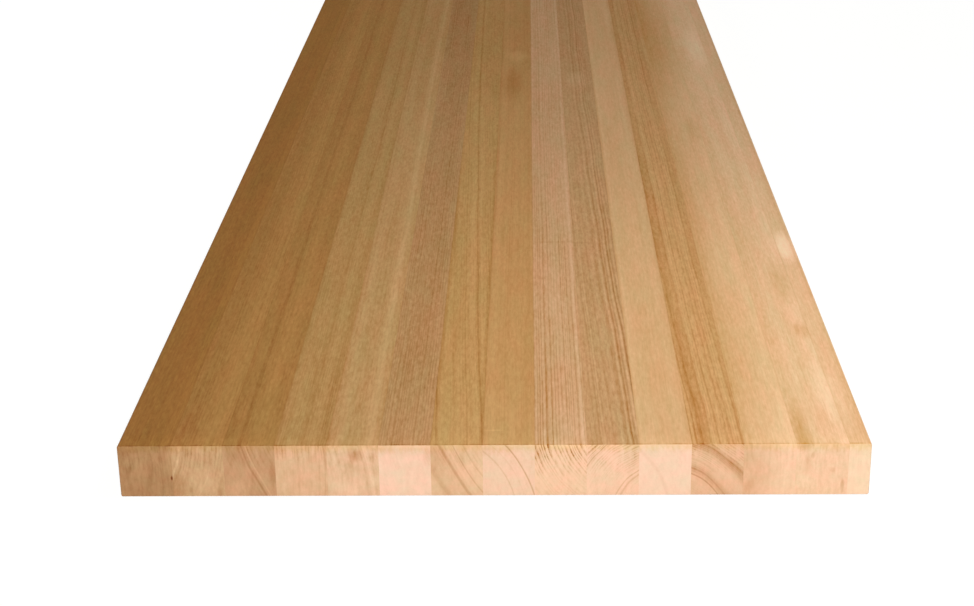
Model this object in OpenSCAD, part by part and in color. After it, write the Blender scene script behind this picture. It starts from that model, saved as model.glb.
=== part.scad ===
// Edge-glued larch panel: full-length staves, ripped to width, glued side by side,
// planed to one thickness and cut square at both ends.
// Millimetres. The panel lies flat, the grain runs along Y and the origin is at the
// middle of the underside.

/* [Panel] */
// Length along the grain
panel_length = 2000; // [500:50:4000]
// Width across the staves
panel_width = 600; // [200:10:1200]
// Planed thickness
panel_thickness = 45; // [18:1:60]

/* [Staves] */
// Width of the left-hand stave
first_width = 43; // [30:0.5:80]
// Width of every other full stave between its two glue faces
stave_width = 41.5; // [30:0.5:80]
// Narrowest closing stave; a smaller rest stays on the stave beside it
least_closing = 12; // [5:1:25]

/* [Edges] */
// Radius sanded on the four long edges of the panel
long_easing = 1.5; // [0.5:0.1:4]
// Radius sanded on the edges round the two sawn ends
end_easing = 0.6; // [0.2:0.1:2]

/* [Hidden] */
// Flats that make up each quarter round of an eased edge
easing_steps = 6;
// How far a rip cut runs past the panel
overrun = 10;

// Full staves from the left, and one that closes the width that they leave
stave_count = 1 + ceil((panel_width - first_width - least_closing) / stave_width);

dark_heart = "#94663a";
amber = "#b08050";
honey = "#c99a66";
pale = "#dfb488";
stave_tones = [
    dark_heart, dark_heart, amber, amber, honey,
    amber, amber, honey, honey, honey,
    pale, honey, pale, pale, pale
];

function stave_left(number) =
    (number > 1 ? first_width + (number - 2) * stave_width : 0) - panel_width / 2;

function stave_right(number) =
    number < stave_count ? stave_left(number + 1) : panel_width / 2;

function stave_name(number) =
    number < stave_count ? str("stave_", number < 10 ? "0" : "", number) : "closing_stave";

// Rectangle about the origin, with a quarter round of the given radius at each corner
function eased_outline(wide, high, radius) = [
    for (corner = [0 : 3], step = [0 : easing_steps])
        let (
            turn = 90 * (corner + step / easing_steps),
            side = corner == 0 || corner == 3 ? 1 : -1,
            level = corner < 2 ? 1 : -1
        )
        [
            side * (wide / 2 - radius) + radius * cos(turn),
            level * (high / 2 - radius) + radius * sin(turn)
        ]
];

// Section across the grain, with the long edges eased
module planed_section() {
    rotate([90, 0, 0])
        linear_extrude(panel_length, center = true)
            polygon(eased_outline(panel_width, panel_thickness, long_easing));
}

// Section along the grain, with the upper and lower edges of the ends eased
module sawn_length() {
    rotate([90, 0, 90])
        linear_extrude(panel_width, center = true)
            polygon(eased_outline(panel_length, panel_thickness, end_easing));
}

// Outline from above, with the upright corners of the ends eased
module sawn_corners() {
    linear_extrude(panel_thickness, center = true)
        polygon(eased_outline(panel_width, panel_length, end_easing));
}

// The whole panel as one blank, lying on the floor
module eased_blank() {
    translate([0, 0, panel_thickness / 2])
        intersection() {
            planed_section();
            sawn_length();
            sawn_corners();
        }
}

// The strip of the panel between two neighbouring glue lines
module rip_strip(number) {
    left = stave_left(number) - (number == 1 ? overrun : 0);
    right = stave_right(number) + (number == stave_count ? overrun : 0);
    translate([left, -panel_length / 2 - overrun, -overrun])
        cube([right - left, panel_length + 2 * overrun, panel_thickness + 2 * overrun]);
}

module stave(number) {
    color(stave_tones[(number - 1) % len(stave_tones)])
        intersection() {
            eased_blank();
            rip_strip(number);
        }
}

for (number = [1 : stave_count])
    stave(number);
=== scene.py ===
"""Edge-glued larch panel: planed staves glued side by side, flat on a pale studio floor.

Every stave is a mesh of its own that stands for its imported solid. Its growth rings are worked
out once, as the distance of each vertex from the heart of the tree the stave was ripped from.
They raise the faint relief of the planed and sawn faces, and the wood's material reads them,
so that a ring runs over the eased edge from the face into the end grain.
"""
import math
from collections import namedtuple

import bmesh
import bpy
import numpy as np
from mathutils import Matrix, Vector


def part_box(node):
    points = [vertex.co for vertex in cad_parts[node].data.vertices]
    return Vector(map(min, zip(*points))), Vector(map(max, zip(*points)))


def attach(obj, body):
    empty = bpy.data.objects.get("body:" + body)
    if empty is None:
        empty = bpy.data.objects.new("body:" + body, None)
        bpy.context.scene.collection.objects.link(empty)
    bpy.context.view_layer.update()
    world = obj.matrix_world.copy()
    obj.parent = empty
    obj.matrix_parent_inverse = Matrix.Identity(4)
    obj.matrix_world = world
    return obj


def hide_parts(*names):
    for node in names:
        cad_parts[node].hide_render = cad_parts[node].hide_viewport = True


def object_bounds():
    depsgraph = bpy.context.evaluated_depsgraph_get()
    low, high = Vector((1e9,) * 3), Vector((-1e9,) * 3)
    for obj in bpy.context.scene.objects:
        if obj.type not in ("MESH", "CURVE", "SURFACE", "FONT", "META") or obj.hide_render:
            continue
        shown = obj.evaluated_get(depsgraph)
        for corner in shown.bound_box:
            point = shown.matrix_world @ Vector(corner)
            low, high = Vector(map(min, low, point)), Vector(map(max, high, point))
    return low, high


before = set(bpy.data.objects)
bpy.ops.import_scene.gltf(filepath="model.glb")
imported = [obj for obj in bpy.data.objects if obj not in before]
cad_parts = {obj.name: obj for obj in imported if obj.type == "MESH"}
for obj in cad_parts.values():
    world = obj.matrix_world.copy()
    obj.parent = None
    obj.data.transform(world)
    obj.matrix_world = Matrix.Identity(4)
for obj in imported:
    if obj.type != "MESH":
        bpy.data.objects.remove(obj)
cad_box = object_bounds()

MM = 0.001

# One stave of larch. Places are in millimetres from its lower left corner at the front end.
#   face, end    colour of the planed face and of the sawn end
#   heart        middle of the tree, across and up
#   ring         mean width of a year's ring
#   late         how far the dark summer wood stands out on the face, 0 where it doesn't
#   sawn         how far it still stands out on the sawn end
#   fleck        how strong the short flecks are on the face
#   smudge       how blotched the sawn end is
#   wander       how far the rings stray sideways along the stave
#   bend         how far they bend to the right behind the front end
#   fade         share of their lines that is gone towards the far end of the face
#   on_face      darker growth, or paler below zero: place across the top, width and strength
#   on_end       the same on the sawn ends: a point that it passes, its width and strength
Stave = namedtuple(
    "Stave", "node face end heart ring late sawn fleck smudge wander bend fade on_face on_end"
)

STAVES = (
    Stave(
        node="stave_01", face="#a6702c", end="#ac8054", heart=(-190, 12), ring=3.2,
        late=0.35, sawn=0.5, fleck=1.0, smudge=0.9, wander=0.5, bend=0, fade=0.1,
        on_face=((1.5, 4, 0.25), (22, 7, 0.14), (39, 10, -0.28)),
        on_end=((20, 20, 3, -0.12), (34.5, 26, 1.6, 0.25)),
    ),
    Stave(
        node="stave_02", face="#b4803e", end="#c49a6e", heart=(-60, 48), ring=3.0,
        late=0.5, sawn=0.7, fleck=1.0, smudge=0.8, wander=0.6, bend=1, fade=0.1,
        on_face=((6, 20, 0.26), (14, 3, 0.12), (32, 22, -0.24)),
        on_end=((5, 34, 2.2, -0.55), (8, 32, 2.6, 0.22), (30, 24, 1.8, -0.3), (27, 30, 1.6, 0.15)),
    ),
    Stave(
        node="stave_03", face="#b4803e", end="#c09268", heart=(300, 140), ring=3.4,
        late=0.3, sawn=0.4, fleck=1.0, smudge=0.6, wander=0.5, bend=-2, fade=0.2,
        on_face=((3, 9, 0.2), (9, 8, 0.1), (13.5, 5, 0.36), (15, 1.4, 0.25), (27, 12, -0.26)),
        on_end=((15.6, 44, 2.4, 0.6), (19.0, 44, 1.8, -0.35), (12, 44, 2, 0.15)),
    ),
    Stave(
        node="stave_04", face="#c09254", end="#d8ac84", heart=(-260, 30), ring=2.6,
        late=0.45, sawn=0.5, fleck=0.9, smudge=0.5, wander=0.5, bend=1, fade=0.25,
        on_face=((0, 6, 0.4), (22, 8, 0.18), (29, 6, -0.16), (38.5, 7, 0.3)),
        on_end=((36, 20, 2.0, 0.15), (40.5, 20, 1.4, 0.35), (20, 20, 1.6, 0.12)),
    ),
    Stave(
        node="stave_05", face="#c89a60", end="#dcb28c", heart=(-200, -15), ring=3.4,
        late=0.3, sawn=0.4, fleck=0.85, smudge=0.6, wander=0.5, bend=-1, fade=0.1,
        on_face=((0, 5, 0.35), (19, 15, 0.14), (32.5, 9, -0.36)),
        on_end=((29.5, 20, 2.0, 0.25), (33.5, 20, 4.0, -0.25)),
    ),
    Stave(
        node="stave_06", face="#c0905a", end="#ecc4a6", heart=(-180, -40), ring=2.2,
        late=0.8, sawn=0.12, fleck=1.1, smudge=0.22, wander=0.5, bend=0, fade=0.2,
        on_face=((0, 3, -0.2), (16, 10, 0.06), (38, 8, -0.14)),
        on_end=(),
    ),
    Stave(
        node="stave_07", face="#c89858", end="#dab088", heart=(250, 150), ring=2.6,
        late=0.35, sawn=0.3, fleck=0.9, smudge=0.35, wander=0.4, bend=-38, fade=0.1,
        on_face=(
            (5.2, 2.6, 0.45), (18.5, 1.6, 0.3), (29.5, 2, 0.16), (37, 5, -0.16),
            (41.5, 2.6, 0.55), (46, 5, -0.16),
        ),
        on_end=(
            (4, 18, 5.0, 0.3), (8, 43, 3.2, 0.6), (18, 44, 1.6, 0.5), (27, 43, 1.6, 0.4),
            (13, 44, 3.0, -0.15),
        ),
    ),
    Stave(
        node="stave_08", face="#cc985a", end="#e8c0a0", heart=(-60, -25), ring=4.5,
        late=0.22, sawn=0.1, fleck=0.6, smudge=0.25, wander=0.6, bend=0, fade=0.2,
        on_face=((0, 4, 0.35), (6, 7, -0.14), (17, 2, 0.24), (37, 10, 0.12)),
        on_end=((18, 45, 1.6, 0.75), (1, 40, 1.6, 0.32), (12, 40, 1.4, 0.15)),
    ),
    Stave(
        node="stave_09", face="#d8a878", end="#eac09c", heart=(93, 68), ring=2.75,
        late=1.25, sawn=1.5, fleck=0.75, smudge=0.25, wander=0.3, bend=-1, fade=0.5,
        on_face=((0, 2, 0.15), (5, 9, 0.1), (39, 6, -0.3)),
        on_end=(),
    ),
    Stave(
        node="stave_10", face="#cc9c68", end="#eac09e", heart=(62, -12), ring=2.1,
        late=0.45, sawn=0.8, fleck=0.95, smudge=0.25, wander=0.3, bend=-24, fade=0.5,
        on_face=(
            (11, 3, 0.28), (14.9, 2, -0.28), (16.6, 1.8, 0.32), (22.6, 1.6, 0.2),
            (27.3, 2.6, -0.2), (31.6, 2.6, 0.36), (34, 1.9, -0.45), (36.1, 2, 0.78),
            (38.8, 1.7, 0.42), (40.8, 1.9, -0.5), (42.9, 2, 1.0), (44.6, 1.5, -0.45),
            (46.4, 1.8, 0.55), (48.3, 1.5, -0.3), (50.3, 1.8, 0.5), (54, 1.8, 0.4),
        ),
        on_end=((16, 45, 1.8, 0.45), (40, 22, 1.4, 0.4), (38, 17, 1.4, 0.35), (35, 13, 1.4, 0.3)),
    ),
    Stave(
        node="stave_11", face="#e0b07a", end="#ecc6a8", heart=(-70, -25), ring=4.0,
        late=0.14, sawn=0.1, fleck=0.45, smudge=0.2, wander=0.5, bend=0, fade=0.0,
        on_face=((0, 4, 0.22), (4.5, 4, -0.08), (41, 6, 0.22)),
        on_end=((0, 42, 4.0, 0.16),),
    ),
    Stave(
        node="stave_12", face="#d6a266", end="#deb08a", heart=(-32, -40), ring=1.9,
        late=0.7, sawn=0.7, fleck=0.85, smudge=0.3, wander=0.35, bend=-12, fade=0.1,
        on_face=(
            (3.6, 2, 0.25), (8, 9.5, 0.5), (18, 2, -0.34), (22.4, 1.8, 0.34), (24.6, 2, -0.2),
            (31.8, 2, 0.22), (35.5, 3, -0.15), (41, 6, 0.25), (45, 3, 0.3),
        ),
        on_end=(
            (6, 44, 10, 0.6), (38, 22, 3.0, 0.3), (0, 24, 9, 0.45), (0, 24, 2.0, 0.3),
            (0, 19, 1.6, 0.4), (14, 9, 1.4, 0.35), (2, 36, 5, -0.12),
        ),
    ),
    Stave(
        node="stave_13", face="#e6b680", end="#e4b892", heart=(-300, 22), ring=3.5,
        late=0.16, sawn=0.2, fleck=0.5, smudge=0.4, wander=0.5, bend=1, fade=0,
        on_face=((0, 36, 0.28), (1, 4, 0.1), (41, 36, -0.26)),
        on_end=((0, 20, 44, 0.3), (41, 20, 40, -0.25)),
    ),
    Stave(
        node="stave_14", face="#f0c290", end="#eac09a", heart=(340, 22), ring=3.2,
        late=0.16, sawn=0.2, fleck=0.5, smudge=0.5, wander=0.6, bend=-1, fade=0,
        on_face=((3, 20, 0.2), (38, 20, -0.16)),
        on_end=(),
    ),
    Stave(
        node="closing_stave", face="#f0c290", end="#f0cca8", heart=(-250, 22), ring=3.0,
        late=0.14, sawn=0.1, fleck=0.45, smudge=0.25, wander=0.5, bend=0, fade=0,
        on_face=((15, 4, 0.22),),
        on_end=(),
    ),
)

# Soft spots in one stave, some of them painted light and shade: its node, place (across, along, up), half
# size, darker or paler below zero
SPOTS_AND_PAINTED_LIGHT_AND_SHADE = (
    # A small dark speck in the sawn end
    ("stave_01", (42.2, 0, 16.5), (1.3, 2, 2.8), 2.2),
    # Dark blotches in the sawn end, and paler places between them
    ("stave_01", (3, 0, 41), (8, 3, 9), 0.35),
    ("stave_01", (8, 0, 24), (4, 3, 5), 0.35),
    ("stave_01", (16, 0, 25), (6, 3, 11), -0.30),
    ("stave_01", (25.5, 0, 20), (2.6, 3, 13), 0.42),
    ("stave_01", (34, 0, 33), (2.4, 3, 7), 0.35),
    ("stave_01", (42, 0, 32), (8, 3, 16), -0.45),
    ("stave_02", (3, 0, 9), (11, 3, 17), 0.55),
    ("stave_02", (14, 0, 6), (2.6, 3, 4), 0.40),
    ("stave_02", (24, 0, 13), (14, 3, 20), -0.28),
    ("stave_02", (12, 0, 40), (5, 3, 8), 0.30),
    ("stave_02", (37.5, 0, 4), (4, 3, 6), 0.55),
    ("stave_03", (9, 0, 39), (15, 3, 13), 0.38),
    ("stave_03", (10, 0, 6), (13, 3, 12), -0.38),
    ("stave_03", (39, 0, 21), (3.6, 3, 15), 0.55),
    ("stave_03", (32, 0, 36), (5, 3, 9), 0.25),
    ("stave_04", (3, 0, 41), (9, 3, 10), 0.30),
    ("stave_05", (22.5, 0, 37), (8, 3, 9), 0.75),
    ("stave_05", (18, 0, 25), (8, 3, 10), 0.28),
    ("stave_05", (14, 0, 6), (20, 3, 12), -0.25),
    ("stave_05", (37, 0, 35), (1.8, 3, 10), 0.50),
    ("stave_06", (2, 0, 43), (14, 3, 9), 0.22),
    ("stave_06", (21, 0, 45), (30, 3, 12), 0.25),
    ("stave_06", (40, 0, 37), (8, 3, 14), 0.25),
    ("stave_07", (3, 0, 33), (14, 3, 22), 0.32),
    ("stave_07", (38, 0, 20), (16, 3, 30), -0.26),
    ("stave_08", (2, 0, 40), (10, 3, 10), 0.20),
    ("stave_08", (18, 0, 45), (30, 3, 11), 0.22),
    ("stave_09", (2, 0, 38), (9, 3, 12), 0.30),
    ("stave_10", (39, 0, 36), (9, 3, 18), 0.20),
    ("stave_13", (6, 0, 9), (6, 3, 7), 0.20),
    ("stave_14", (9, 0, 28), (4, 3, 14), 0.30),
    ("stave_14", (13, 0, 35), (2.2, 3, 4), 0.40),
    ("stave_14", (29, 0, 22), (4, 3, 3), 0.30),
    ("stave_14", (37.5, 0, 8), (2.2, 3, 10), 0.55),
    # A darker corner of the top
    ("stave_14", (6.5, 10, 45), (9, 95, 9), 0.50),
    # A short pale fleck
    ("stave_06", (34.5, 304, 45), (1.8, 6, 3), -0.70),
    # Short scratches across the grain
    ("stave_08", (9, 27, 45), (11, 2.2, 3), -0.40),
    ("stave_09", (24, 473, 45), (26, 4, 3), 0.26),
    ("stave_10", (8, 470, 45), (14, 4, 3), 0.20),
    # Dark growth beside a joint
    ("stave_07", (0, 350, 45), (4, 700, 5), 0.45),
    ("stave_07", (41.5, 350, 45), (4, 700, 5), 0.35),
    # Painted highlights near the right edge: pale blobs that stand in for a lamp's soft sheen
    ("stave_14", (35, 100, 45), (13, 80, 9), -0.32),
    ("closing_stave", (3, 95, 45), (10, 80, 9), -0.20),
    ("closing_stave", (7, 455, 45), (13, 62, 20), -0.90),
    # Pale clouds
    ("stave_13", (16, 420, 45), (16, 120, 10), -0.15),
    ("stave_13", (39, 45, 45), (6, 85, 9), -0.22),
    ("stave_14", (28, 1290, 45), (20, 160, 10), -0.30),
    ("stave_08", (22, 1250, 45), (20, 45, 12), -0.35),
    ("stave_10", (20, 1120, 45), (20, 55, 12), -0.35),
    # Dark clouds
    ("stave_14", (33, 355, 45), (14, 75, 9), 0.34),
    ("stave_14", (36, 232, 45), (12, 26, 9), 0.45),
    ("stave_13", (34, 880, 45), (16, 80, 9), 0.28),
    ("stave_08", (16, 1100, 45), (20, 110, 12), 0.45),
    ("stave_07", (34, 1100, 45), (16, 110, 12), 0.14),
    # Broad painted shade and painted light over a stave's whole width, matched to how the light falls:
    # darker far back and paler near the front, with stave_01 paler far back and the closing stave darker
    # near the front. Broad shades over a stave's whole width, matched to the photograph: wood or light,
    # it isn't known
    ("stave_01", (10, 1450, 45), (60, 500, 60), -0.12),
    ("stave_04", (20, 1500, 45), (60, 560, 60), 0.20),
    ("stave_05", (20, 1500, 45), (60, 600, 60), 0.28),
    ("stave_06", (20, 1500, 45), (60, 660, 60), 0.30),
    ("stave_07", (20, 1500, 45), (60, 620, 60), 0.26),
    ("stave_08", (20, 1400, 45), (60, 500, 60), 0.30),
    ("stave_10", (20, 1500, 45), (60, 500, 60), 0.18),
    ("stave_11", (20, 1500, 45), (60, 500, 60), 0.10),
    ("stave_12", (20, 1400, 45), (60, 400, 60), 0.10),
    ("stave_13", (20, 1400, 45), (60, 470, 60), 0.45),
    ("stave_06", (20, 0, 45), (60, 170, 4), -0.18),
    ("stave_07", (20, 0, 45), (60, 190, 4), -0.14),
    ("stave_08", (20, 0, 45), (60, 140, 4), -0.18),
    ("stave_09", (20, 0, 45), (60, 130, 4), -0.16),
    ("stave_13", (20, 0, 45), (60, 130, 4), -0.12),
    ("closing_stave", (20, 0, 45), (60, 260, 4), 0.14),
)

# Spacing of the mesh, in millimetres: across the stave, up it and along it
ACROSS, UP, ALONG = ((0.55, 0.62, 24.0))

# Radii sanded on the long edges and round the sawn ends, in millimetres
LONG_EASING, END_EASING = 1.5, 0.6

# Over this length behind the front end, in millimetres, the rings take most of their bend
BEND_LENGTH = 900.0

# How far the soft spring wood lies below the hard summer wood, in millimetres
FACE_RELIEF, END_RELIEF = 0.035, 0.09

# Shares of a year: when summer wood starts, how long it takes to darken and how fast winter ends it
SUMMER_START, SUMMER_RISE, WINTER_FALL = 0.45, 0.42, 0.06

# Lengths of the waves in which the rings stray along the stave and ripple across it, in millimetres
STRAY_WAVES, RIPPLES = (1700, 740, 310, 140), (31, 17)

# In waves of so many years, the rings grow wider and narrower by this share of a year
YEAR_WAVES, YEAR_SWING = (9.7, 4.3), 0.28

# Patterns of the grain: size across, along and up in millimetres, and how much finer grain it holds
GRAINS = {
    "cloud": (16, 300, 16, 2),
    "tint": (16, 110, 12, 3),
    "streak": (5.5, 1100, 9, 3),
    "mottle": (7, 42, 7, 2),
    "smudge": (3.2, 12, 9, 4),
    "fibre": (1.0, 26, 1.0, 4),
    "fleck": (2.0, 9, 2.0, 3),
}

# How far apart the stretches of pattern of two staves lie, in millimetres
STRETCH = 3700

# The face's lines fade between these distances behind the front end, in millimetres
FADE_BEHIND_FRONT = (100.0, 800.0)

# The painted shade on an end's arris grows between these distances from the end, in millimetres
ARRIS_SHADE_FROM_END = (3.2, 0.4)

# Joint distance of a point on a stave that has no joint, in millimetres
NO_JOINT = 99.0

# Two places closer than this are one, and this close to an end or side lies its eased edge, in metres
TOUCH, RIM = 1e-6, 2e-3


def srgb(text):
    """A colour written as sRGB hex, as the linear colour that nodes hold."""
    values = [int(text[i : i + 2], 16) / 255 for i in (1, 3, 5)]
    return [v / 12.92 if v <= 0.04045 else ((v + 0.055) / 1.055) ** 2.4 for v in values] + [1.0]


def add_node(tree, kind, settings=None, links=None):
    """Adds a node, sets its properties and inputs by name or number, and joins sources to its inputs.

    A source is an output, or a node whose first output is meant.
    """
    node = tree.nodes.new(kind)
    for key, value in (settings or {}).items():
        if isinstance(key, str) and hasattr(node, key):
            setattr(node, key, value)
        else:
            node.inputs[key].default_value = value
    for key, source in (links or {}).items():
        output = source.outputs[0] if isinstance(source, bpy.types.Node) else source
        tree.links.new(output, node.inputs[key])
    return node


def late_share(years):
    """How much summer wood there is at a point of a year: none in spring, all just before winter."""
    part = years - np.floor(years)
    rise = np.clip((part - SUMMER_START) / SUMMER_RISE, 0, 1)
    fall = np.clip((1.0 - part) / WINTER_FALL, 0, 1)
    return rise * rise * (3 - 2 * rise) * fall


def grow(stave, number, points):
    """Distance from the heart in millimetres, and the count of years, at points in millimetres."""
    chance = np.random.default_rng(40 + number)
    across, along, up = points.T
    middle_x, middle_z = stave.heart
    stray_x = stave.bend * (1 - np.exp(-along / BEND_LENGTH))
    stray_z = np.zeros(len(points))
    for wave in STRAY_WAVES:
        share = stave.wander * (wave / STRAY_WAVES[0]) ** 0.45
        turn = 2 * math.pi * along / wave
        stray_x = stray_x + share * np.sin(turn + chance.uniform(0, 2 * math.pi))
        stray_z += share * np.sin(turn + chance.uniform(0, 2 * math.pi))
    radius = np.hypot(across - middle_x - stray_x, up - middle_z - stray_z)
    for wave in RIPPLES:
        tilt = chance.uniform(-0.6, 0.6)
        turn = 2 * math.pi * (across * math.cos(tilt) + up * math.sin(tilt)) / wave
        radius += wave / 90 * np.sin(turn + chance.uniform(0, 6) + along / 900)
    years = radius / stave.ring
    for wave in YEAR_WAVES:
        years += YEAR_SWING * np.sin(2 * math.pi * years / wave + chance.uniform(0, 2 * math.pi))
    return radius, years


def parallel(edges, axis, shortest):
    """Those of the edges that run along an axis and are at least so long, in metres."""
    found = []
    for edge in edges:
        step = edge.verts[1].co - edge.verts[0].co
        if abs(step[axis]) > shortest and abs(step[axis]) > 0.999 * step.length:
            found.append(edge)
    return found


def ease(bm, edges, radius, segments):
    bmesh.ops.bevel(
        bm, geom=edges, offset=radius * MM, offset_type="OFFSET", affect="EDGES",
        segments=segments, profile=0.5, material=-1, clamp_overlap=True,
    )


def stave_blank(low, high, open_left, open_right):
    """A stave's block with the outer edges of the panel eased and its seen faces cut into a fine grid."""
    bm = bmesh.new()
    size = high - low
    bmesh.ops.create_cube(bm, size=1.0)
    bmesh.ops.scale(bm, vec=size, verts=bm.verts)
    bmesh.ops.translate(bm, vec=(low + high) / 2, verts=bm.verts)

    outer = [side for side, is_open in ((low.x, open_left), (high.x, open_right)) if is_open]
    long_edges = [
        edge for edge in parallel(bm.edges, 1, 0.1)
        if any(abs(edge.verts[0].co.x - side) < TOUCH for side in outer)
    ]
    if long_edges:
        ease(bm, long_edges, LONG_EASING, 5)
    for side in outer:
        inwards = 1 if side == low.x else -1
        bmesh.ops.bisect_plane(
            bm, geom=bm.verts[:] + bm.edges[:] + bm.faces[:], dist=1e-7,
            plane_co=(side + inwards * LONG_EASING * MM, 0, 0), plane_no=(1, 0, 0),
        )
    # The rims of the sawn ends, without the edges between an end and a glue face
    end_edges = [
        edge for edge in bm.edges
        if abs(edge.verts[0].co.y - edge.verts[1].co.y) < 1e-7
        and len(edge.link_faces) == 2
        and abs(abs(edge.link_faces[0].normal.y) - abs(edge.link_faces[1].normal.y)) > 0.9
        and not (abs(edge.link_faces[0].normal.x) + abs(edge.link_faces[1].normal.x) > 0.99
                 and not any(abs(v.co.x - side) < RIM for v in edge.verts for side in outer))
    ]
    ease(bm, end_edges, END_EASING, 3)

    bmesh.ops.subdivide_edges(
        bm, edges=parallel(bm.edges, 0, 0.8 * (size.x - 2 * LONG_EASING * MM)),
        cuts=round(size.x / MM / ACROSS) - 1, use_grid_fill=True,
    )
    bmesh.ops.subdivide_edges(
        bm, edges=parallel(bm.edges, 1, 0.9 * size.y),
        cuts=round(size.y / MM / ALONG) - 1, use_grid_fill=True,
    )
    upright = [
        edge for edge in parallel(bm.edges, 2, 0.8 * size.z)
        if abs(abs(edge.verts[0].co.y) - size.y / 2) < RIM
        or any(abs(edge.verts[0].co.x - side) < TOUCH for side in outer)
    ]
    bmesh.ops.subdivide_edges(bm, edges=upright, cuts=round(size.z / MM / UP) - 1, use_grid_fill=True)
    return bm


# Where each side of a stave lies on its map for baking: left, low, right, high
MAP_PLACES = {
    "top": (0.004, 0.62, 0.996, 0.996),
    "bottom": (0.004, 0.46, 0.996, 0.61),
    "left": (0.004, 0.41, 0.996, 0.452),
    "right": (0.004, 0.362, 0.996, 0.402),
    "front": (0.004, 0.004, 0.33, 0.35),
    "back": (0.345, 0.004, 0.671, 0.35),
}


def side_of(normal):
    if abs(normal.y) > 0.72:
        return "front" if normal.y < 0 else "back"
    if abs(normal.z) > 0.69:
        return "top" if normal.z > 0 else "bottom"
    return "left" if normal.x < 0 else "right"


def add_bake_map(bm, low, high):
    """Lays the six sides out apart, with most of the room for the top and the two ends."""
    layer = bm.loops.layers.uv.new("OFBake")
    size = high - low
    for face in bm.faces:
        side = side_of(face.normal)
        left, bottom, right, top = MAP_PLACES[side]
        for loop in face.loops:
            place = loop.vert.co - low
            x, y, z = place.x / size.x, place.y / size.y, place.z / size.z
            if side in ("top", "bottom"):
                u, v = y, x
            elif side in ("left", "right"):
                u, v = y, z
            else:
                u, v = x, z
            loop[layer].uv = (left + (right - left) * u, bottom + (top - bottom) * v)


def carve(mesh, stave, number, low, high, open_left, open_right):
    """Sinks the spring wood, and keeps each vertex's distance from the heart and its year."""
    count = len(mesh.vertices)
    places = np.empty(count * 3)
    mesh.vertices.foreach_get("co", places)
    places = places.reshape(-1, 3)
    normals = np.empty(count * 3)
    mesh.vertices.foreach_get("normal", normals)
    normals = normals.reshape(-1, 3).copy()
    points = (places - np.array(low)) / MM
    radius, years = grow(stave, number, points)

    at_glue = np.zeros(count, bool)
    if not open_left:
        at_glue |= np.abs(places[:, 0] - low.x) < TOUCH
    if not open_right:
        at_glue |= np.abs(places[:, 0] - high.x) < TOUCH
    normals[at_glue, 0] = 0
    normals /= np.maximum(np.linalg.norm(normals, axis=1), 1e-9)[:, None]
    endness = np.abs(normals[:, 1])
    relief = (FACE_RELIEF + (END_RELIEF - FACE_RELIEF) * endness) * (0.4 + stave.late)
    sink = relief * (1 - late_share(years)) * MM
    places -= normals * sink[:, None]
    mesh.vertices.foreach_set("co", places.ravel())
    joint = np.full(count, NO_JOINT)
    if not open_left:
        joint = points[:, 0]
    if not open_right:
        joint = np.minimum(joint, (high.x - low.x) / MM - points[:, 0])
    for name, values in (("radius", radius), ("years", years), ("joint", joint)):
        layer = mesh.attributes.new(name, "FLOAT", "POINT")
        layer.data.foreach_set("value", values)


def lay_patterns(tree, place):
    """The patterns of the grain by name, each spread to its real size."""
    pattern = {}
    for name, (across, along, up, detail) in GRAINS.items():
        spread = add_node(
            tree, "ShaderNodeVectorMath",
            {"operation": "MULTIPLY", 1: (1 / across, 1 / along, 1 / up)}, {0: place},
        )
        pattern[name] = add_node(
            tree, "ShaderNodeTexNoise",
            {"Scale": 1.0, "Detail": detail, "Roughness": 0.6}, {"Vector": spread},
        )
    return pattern


def summer_wood(tree, stave, pattern, endness, height, kept):
    """How dark each year is: pale spring wood, then a narrow, ragged line of dark summer wood."""
    years = add_node(tree, "ShaderNodeAttribute", {"attribute_name": "years"}).outputs["Fac"]
    ragged = add_node(tree, "ShaderNodeMath", {"operation": "SUBTRACT", 1: 0.5}, {0: pattern["fibre"]})
    years = add_node(tree, "ShaderNodeMath", {"operation": "MULTIPLY_ADD", 1: 0.5}, {0: ragged, 2: years})
    part = add_node(tree, "ShaderNodeMath", {"operation": "FRACT"}, {0: years})
    rise = add_node(
        tree, "ShaderNodeMapRange", {"interpolation_type": "SMOOTHSTEP", 1: 0.40, 2: 0.85}, {0: part}
    )
    fall = add_node(
        tree, "ShaderNodeMapRange", {"interpolation_type": "SMOOTHSTEP", 1: 1.0, 2: 0.93}, {0: part}
    )
    line = add_node(tree, "ShaderNodeMath", {"operation": "MULTIPLY"}, {0: rise, 1: fall})
    # Years differ, and a line comes and goes along the stave
    whole = add_node(tree, "ShaderNodeMath", {"operation": "FLOOR"}, {0: years})
    year = add_node(tree, "ShaderNodeTexWhiteNoise", {"noise_dimensions": "1D"}, {"W": whole})
    weight = add_node(tree, "ShaderNodeMapRange", {3: 0.5, 4: 1.0}, {0: year})
    line = add_node(tree, "ShaderNodeMath", {"operation": "MULTIPLY"}, {0: line, 1: weight})
    comes = add_node(tree, "ShaderNodeMapRange", {1: 0.3, 2: 0.7, 3: 0.45, 4: 1.0}, {0: pattern["cloud"]})
    line = add_node(tree, "ShaderNodeMath", {"operation": "MULTIPLY"}, {0: line, 1: comes})
    late = add_node(tree, "ShaderNodeMath", {"operation": "MULTIPLY", 1: stave.late}, {0: kept})
    # The saw has smeared the rings of the end, least near the top
    smear = add_node(tree, "ShaderNodeMapRange", {1: 0.35, 2: 0.65, 3: 0.2, 4: 0.9}, {0: pattern["smudge"]})
    clear = add_node(
        tree, "ShaderNodeMapRange", {1: 16.0, 2: 42.0, 3: 0.3 * stave.sawn, 4: 2.0 * stave.sawn}, {0: height}
    )
    smear = add_node(tree, "ShaderNodeMath", {"operation": "MULTIPLY"}, {0: smear, 1: clear})
    shown = add_node(tree, "ShaderNodeMix", links={0: endness, 2: late, 3: smear})
    return add_node(tree, "ShaderNodeMath", {"operation": "MULTIPLY"}, {0: line, 1: shown})


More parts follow.
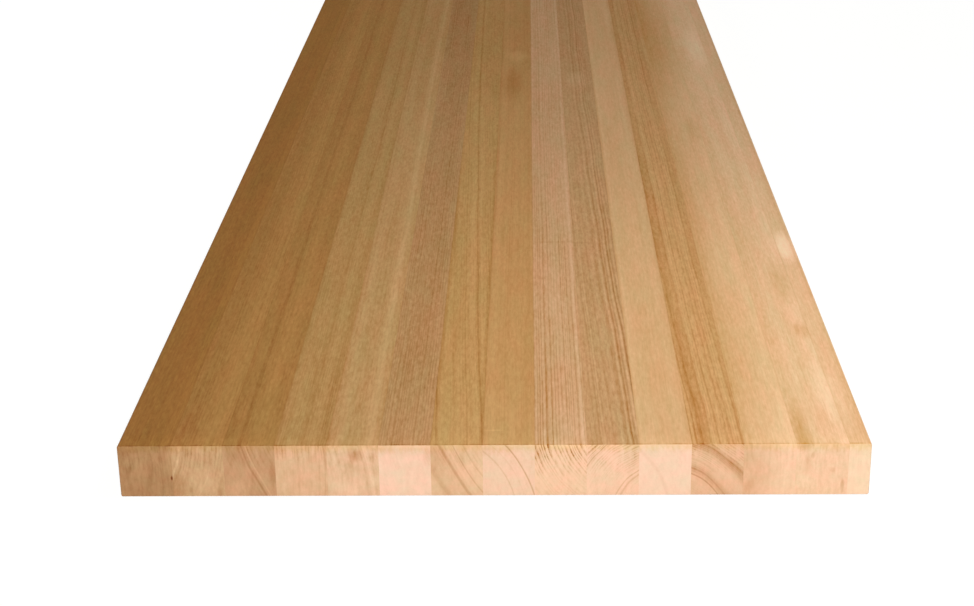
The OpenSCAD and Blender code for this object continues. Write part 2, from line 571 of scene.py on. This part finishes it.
def ring_bands(tree, stave, dark, endness, lined_face, thickness):
    """Adds the darker and paler bands, which follow the rings."""
    radius = add_node(tree, "ShaderNodeAttribute", {"attribute_name": "radius"}).outputs["Fac"]
    bands = [(endness, *band) for band in stave.on_end]
    for across, width, strength in stave.on_face:
        # A ring that lies flat in the face shows there wider than it is thick
        off_heart = across - stave.heart[0]
        steepness = abs(off_heart) / math.hypot(off_heart, thickness - stave.heart[1])
        bands.append((lined_face, across, thickness, width * steepness, strength))
    for side, across, up, width, strength in bands:
        distance = math.hypot(across - stave.heart[0], up - stave.heart[1])
        off = add_node(tree, "ShaderNodeMath", {"operation": "SUBTRACT", 1: distance}, {0: radius})
        off = add_node(tree, "ShaderNodeMath", {"operation": "ABSOLUTE"}, {0: off})
        band = add_node(
            tree, "ShaderNodeMapRange",
            {"interpolation_type": "SMOOTHSTEP", 1: 0.1 * width, 2: 0.6 * width, 3: strength, 4: 0.0},
            {0: off},
        )
        dark = add_node(tree, "ShaderNodeMath", {"operation": "MULTIPLY_ADD"}, {0: band, 1: side, 2: dark})
    return dark


def spots_and_painted_light_and_shade(tree, stave, dark, place, corner):
    """Adds the stave's own entries of SPOTS_AND_PAINTED_LIGHT_AND_SHADE."""
    # Some entries are painted light and shade: broad shades over whole staves, and pale highlights
    for node, middle, half_size, strength in SPOTS_AND_PAINTED_LIGHT_AND_SHADE:
        if node != stave.node:
            continue
        centre = [-(c + m) / h for c, m, h in zip(corner, middle, half_size)]
        off = add_node(
            tree, "ShaderNodeVectorMath",
            {"operation": "MULTIPLY_ADD", 1: [1 / h for h in half_size], 2: centre}, {0: place},
        )
        off = add_node(tree, "ShaderNodeVectorMath", {"operation": "LENGTH"}, {0: off}).outputs["Value"]
        spot = add_node(
            tree, "ShaderNodeMapRange",
            {"interpolation_type": "SMOOTHSTEP", 1: 0.2, 2: 1.0, 3: strength, 4: 0.0}, {0: off},
        )
        dark = add_node(tree, "ShaderNodeMath", {"operation": "ADD"}, {0: dark, 1: spot})
    return dark


def joints_and_arris_shade(tree, dark, pattern, faceness, along, half_length):
    """Adds a thin shade where two staves meet on the face, and painted shade on the arris of the sawn end.
    """
    joint = add_node(tree, "ShaderNodeAttribute", {"attribute_name": "joint"}).outputs["Fac"]
    glue = add_node(
        tree, "ShaderNodeMapRange",
        {"interpolation_type": "SMOOTHSTEP", 1: 0.1, 2: 1.0, 3: 0.16, 4: 0.0}, {0: joint},
    )
    dark = add_node(tree, "ShaderNodeMath", {"operation": "MULTIPLY_ADD"}, {0: glue, 1: faceness, 2: dark})
    along = add_node(tree, "ShaderNodeMath", {"operation": "ABSOLUTE"}, {0: along})
    # Painted shade: a darker, patchy line on the face along the arris of each sawn end
    unshaded_from, shaded_from = (half_length - distance * MM for distance in ARRIS_SHADE_FROM_END)
    arris = add_node(
        tree, "ShaderNodeMapRange",
        {"interpolation_type": "SMOOTHSTEP", 1: unshaded_from, 2: shaded_from, 3: 0.0, 4: 1.0}, {0: along},
    )
    patchy = add_node(
        tree, "ShaderNodeMapRange", {1: 0.35, 2: 0.65, 3: 0.1, 4: 0.85}, {0: pattern["mottle"]}
    )
    arris = add_node(tree, "ShaderNodeMath", {"operation": "MULTIPLY"}, {0: arris, 1: patchy})
    return add_node(tree, "ShaderNodeMath", {"operation": "MULTIPLY_ADD"}, {0: arris, 1: faceness, 2: dark})


def grain_tones(tree, stave, dark, pattern, endness):
    """Adds the tone along the stave that is finer than its rings, weighed for face and end."""
    tones = (
        ("streak", 0.16, 0.10), ("cloud", 0.18, 0.10), ("mottle", 0.16, 0.0), ("fibre", 0.40, 0.10),
        ("fleck", stave.fleck, 0.15), ("smudge", 0.0, stave.smudge),
    )
    for name, face_weight, end_weight in tones:
        amount = add_node(tree, "ShaderNodeMix", {2: 2 * face_weight, 3: 2 * end_weight}, {0: endness})
        tone = add_node(tree, "ShaderNodeMath", {"operation": "SUBTRACT", 1: 0.5}, {0: pattern[name]})
        dark = add_node(
            tree, "ShaderNodeMath", {"operation": "MULTIPLY_ADD"}, {0: tone, 1: amount, 2: dark}
        )
    return dark


def wood_colour(tree, stave, dark, pattern, endness, height):
    """The stave's own colour on face and end, darkened and tinted."""
    wood = add_node(
        tree, "ShaderNodeMix", {"data_type": "RGBA", 6: srgb(stave.face), 7: srgb(stave.end)}, {0: endness}
    ).outputs[2]
    # Darker wood takes away blue first, then green, and less so on the sawn end
    loss = add_node(
        tree, "ShaderNodeMix",
        {"data_type": "VECTOR", 4: (-0.27, -0.43, -0.72), 5: (-0.30, -0.43, -0.60)}, {0: endness},
    ).outputs[1]
    depth = add_node(
        tree, "ShaderNodeVectorMath", {"operation": "MULTIPLY_ADD", 2: (1, 1, 1)}, {0: dark, 1: loss}
    )
    wood = add_node(tree, "ShaderNodeVectorMath", {"operation": "MULTIPLY"}, {0: wood, 1: depth})
    # Slow change between a redder and a greener cast, and an end that is yellower towards the top
    cast = add_node(
        tree, "ShaderNodeMapRange",
        {"data_type": "FLOAT_VECTOR", 7: (0.3, 0.3, 0.3), 8: (0.7, 0.7, 0.7),
         9: (1.05, 0.98, 0.99), 10: (0.95, 1.02, 0.98)},
        {6: pattern["tint"]},
    ).outputs[1]
    wood = add_node(tree, "ShaderNodeVectorMath", {"operation": "MULTIPLY"}, {0: wood, 1: cast})
    near_top = add_node(
        tree, "ShaderNodeMath", {"operation": "MULTIPLY_ADD", 1: 12.0}, {0: pattern["smudge"], 2: height}
    )
    near_top = add_node(
        tree, "ShaderNodeMapRange", {"interpolation_type": "SMOOTHSTEP", 1: 43.0, 2: 51.0}, {0: near_top}
    )
    near_top = add_node(tree, "ShaderNodeMath", {"operation": "MULTIPLY"}, {0: near_top, 1: endness})
    yellow = add_node(
        tree, "ShaderNodeVectorMath",
        {"operation": "MULTIPLY_ADD", 1: (-0.03, -0.05, -0.24), 2: (1.01, 1.01, 1.04)}, {0: near_top},
    )
    return add_node(tree, "ShaderNodeVectorMath", {"operation": "MULTIPLY"}, {0: wood, 1: yellow})


def planed_larch(stave, number):
    """Planed, unfinished larch: matt, with darker summer wood in each ring and fine long fibres.

    The face is a warm straw to red brown. The sawn end is paler and pinker, and drier to look at.
    """
    material = bpy.data.materials.new("planed_larch_" + stave.node)
    material.use_nodes = True
    tree = material.node_tree
    tree.nodes.clear()
    low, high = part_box(stave.node)
    metres = add_node(tree, "ShaderNodeTexCoord").outputs["Object"]
    # Each stave takes its fibres from another stretch of the pattern, so that none crosses a joint
    stretch = STRETCH * number
    place = add_node(
        tree, "ShaderNodeVectorMath",
        {"operation": "MULTIPLY_ADD", 1: (1000, 1000, 1000), 2: (0, stretch, 0)}, {0: metres},
    )
    corner = (low[0] / MM, low[1] / MM + stretch, low[2] / MM)
    pattern = lay_patterns(tree, place)

    normal = add_node(tree, "ShaderNodeNewGeometry").outputs["Normal"]
    facing = add_node(tree, "ShaderNodeSeparateXYZ", links={0: normal}).outputs["Y"]
    facing = add_node(tree, "ShaderNodeMath", {"operation": "ABSOLUTE"}, {0: facing})
    endness = add_node(
        tree, "ShaderNodeMapRange", {"interpolation_type": "SMOOTHSTEP", 1: 0.45, 2: 0.8}, {0: facing}
    )
    faceness = add_node(tree, "ShaderNodeMath", {"operation": "SUBTRACT", 0: 1.0}, {1: endness})
    height = add_node(tree, "ShaderNodeSeparateXYZ", links={0: place}).outputs["Z"]
    along = add_node(tree, "ShaderNodeSeparateXYZ", links={0: metres}).outputs["Y"]
    # The lines of the face are clearest near the front end
    fade_from, fade_to = (low[1] + distance * MM for distance in FADE_BEHIND_FRONT)
    kept = add_node(
        tree, "ShaderNodeMapRange", {1: fade_from, 2: fade_to, 3: 1.0, 4: 1.0 - stave.fade}, {0: along}
    )
    lined_face = add_node(tree, "ShaderNodeMath", {"operation": "MULTIPLY"}, {0: faceness, 1: kept})

    dark = summer_wood(tree, stave, pattern, endness, height, kept)
    dark = ring_bands(tree, stave, dark, endness, lined_face, (high[2] - low[2]) / MM)
    dark = spots_and_painted_light_and_shade(tree, stave, dark, place, corner)
    dark = joints_and_arris_shade(tree, dark, pattern, faceness, along, -low[1])
    dark = grain_tones(tree, stave, dark, pattern, endness)
    wood = wood_colour(tree, stave, dark, pattern, endness, height)

    bump = add_node(
        tree, "ShaderNodeBump", {"Strength": 0.25, "Distance": 0.00005}, {"Height": pattern["fibre"]}
    )
    shader = add_node(
        tree, "ShaderNodeBsdfPrincipled", {"Roughness": 0.56, "IOR": 1.45, "Specular IOR Level": 0.35},
        {"Base Color": wood, "Normal": bump},
    )
    add_node(tree, "ShaderNodeOutputMaterial", links={"Surface": shader})
    return material


def make_stave(stave, number):
    low, high = (Vector(corner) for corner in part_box(stave.node))
    open_left = abs(low.x - cad_box[0][0]) < TOUCH
    open_right = abs(high.x - cad_box[1][0]) < TOUCH
    bm = stave_blank(low, high, open_left, open_right)
    bm.normal_update()
    add_bake_map(bm, low, high)
    mesh = bpy.data.meshes.new("planed_" + stave.node)
    bm.to_mesh(mesh)
    bm.free()
    carve(mesh, stave, number, low, high, open_left, open_right)
    mesh.shade_smooth()
    mesh.set_sharp_from_angle(angle=math.radians(40))
    mesh.materials.append(planed_larch(stave, number))
    piece = bpy.data.objects.new("planed_" + stave.node, mesh)
    bpy.context.collection.objects.link(piece)
    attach(piece, "root")
    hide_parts(stave.node)


def add_floor():
    """A white studio floor, lit by the lamps, that keeps a faint shadow of the panel."""
    mesh = bpy.data.meshes.new("studio_floor")
    bm = bmesh.new()
    bmesh.ops.create_grid(bm, x_segments=1, y_segments=1, size=30.0)
    bm.to_mesh(mesh)
    bm.free()
    material = bpy.data.materials.new("matt_white_floor")
    material.use_nodes = True
    tree = material.node_tree
    tree.nodes.clear()
    matt = add_node(tree, "ShaderNodeBsdfDiffuse", {"Color": srgb("#e8e8e6")})
    glow = add_node(tree, "ShaderNodeEmission", {"Color": srgb("#fffffe"), "Strength": 1.1})
    path = add_node(tree, "ShaderNodeLightPath")
    seen = path.outputs["Is Camera Ray"]
    for ray in ("Is Glossy Ray", "Is Transmission Ray"):
        seen = add_node(tree, "ShaderNodeMath", {"operation": "MAXIMUM"}, {0: seen, 1: path.outputs[ray]})
    share = add_node(tree, "ShaderNodeMath", {"operation": "MULTIPLY", 1: 0.86}, {0: seen})
    mixed = add_node(tree, "ShaderNodeMixShader", links={0: share, 1: matt, 2: glow})
    add_node(tree, "ShaderNodeOutputMaterial", links={"Surface": mixed.outputs[0]})
    mesh.materials.append(material)
    floor = bpy.data.objects.new("studio_floor", mesh)
    floor.location.z = -0.0005
    bpy.context.collection.objects.link(floor)


def add_lamp(name, place, target, size, watts, colour):
    data = bpy.data.lights.new(name, "AREA")
    data.shape = "DISK"
    data.size = size
    data.energy = watts
    data.color = srgb(colour)[:3]
    lamp = bpy.data.objects.new(name, data)
    way = Vector(target) - Vector(place)
    lamp.matrix_world = Matrix.Translation(place) @ way.to_track_quat("-Z", "Y").to_matrix().to_4x4()
    # The lamps stay out of sight in views from other sides
    lamp.visible_camera = False
    bpy.context.collection.objects.link(lamp)


def add_world(strength):
    world = bpy.data.worlds.new("studio_air")
    bpy.context.scene.world = world
    world.use_nodes = True
    tree = world.node_tree
    tree.nodes.clear()
    glow = add_node(tree, "ShaderNodeBackground", {"Color": srgb("#ffffff"), "Strength": strength})
    add_node(tree, "ShaderNodeOutputWorld", links={"Surface": glow.outputs[0]})


def add_camera():
    """The photographer's place in front of the panel, fitted to its outline in the photograph."""
    data = bpy.data.cameras.new("camera")
    data.sensor_width = 36.0
    data.lens = 68.02
    camera = bpy.data.objects.new("camera", data)
    heading, pitch, roll = (math.radians(a) for a in (1.454, 21.751, -0.860))
    camera.matrix_world = (
        Matrix.Translation((0.0307, -2.3142, 0.6909))
        @ Matrix.Rotation(heading, 4, "Z")
        @ Matrix.Rotation(math.pi / 2 - pitch, 4, "X")
        @ Matrix.Rotation(roll, 4, "Z")
    )
    bpy.context.collection.objects.link(camera)
    bpy.context.scene.camera = camera


for number, stave in enumerate(STAVES):
    make_stave(stave, number)
add_floor()
add_lamp("key", (0.315, -0.907, 0.88), (0.315, -0.907, 0.0), 0.4, 3.2, "#ffffff")
add_lamp("overhead", (0.3, 0.6, 2.8), (0.3, 0.3, 0.0), 2.0, 12.8, "#ffffff")
add_lamp("front", (0.05, -4.0, 1.4), (0.0, -1.0, 0.0), 1.2, 84.0, "#ffffff")
add_lamp("window side", (-1.6, 0.56, 0.95), (0.0, 0.56, 0.0), 0.8, 8.0, "#ffffff")
add_lamp("behind", (3.3, 3.4, 0.4), (0.1, 0.9, 0.02), 1.0, 52.0, "#ffffff")
add_world(0.12)
add_camera()
bpy.context.scene.view_settings.view_transform = "Standard"
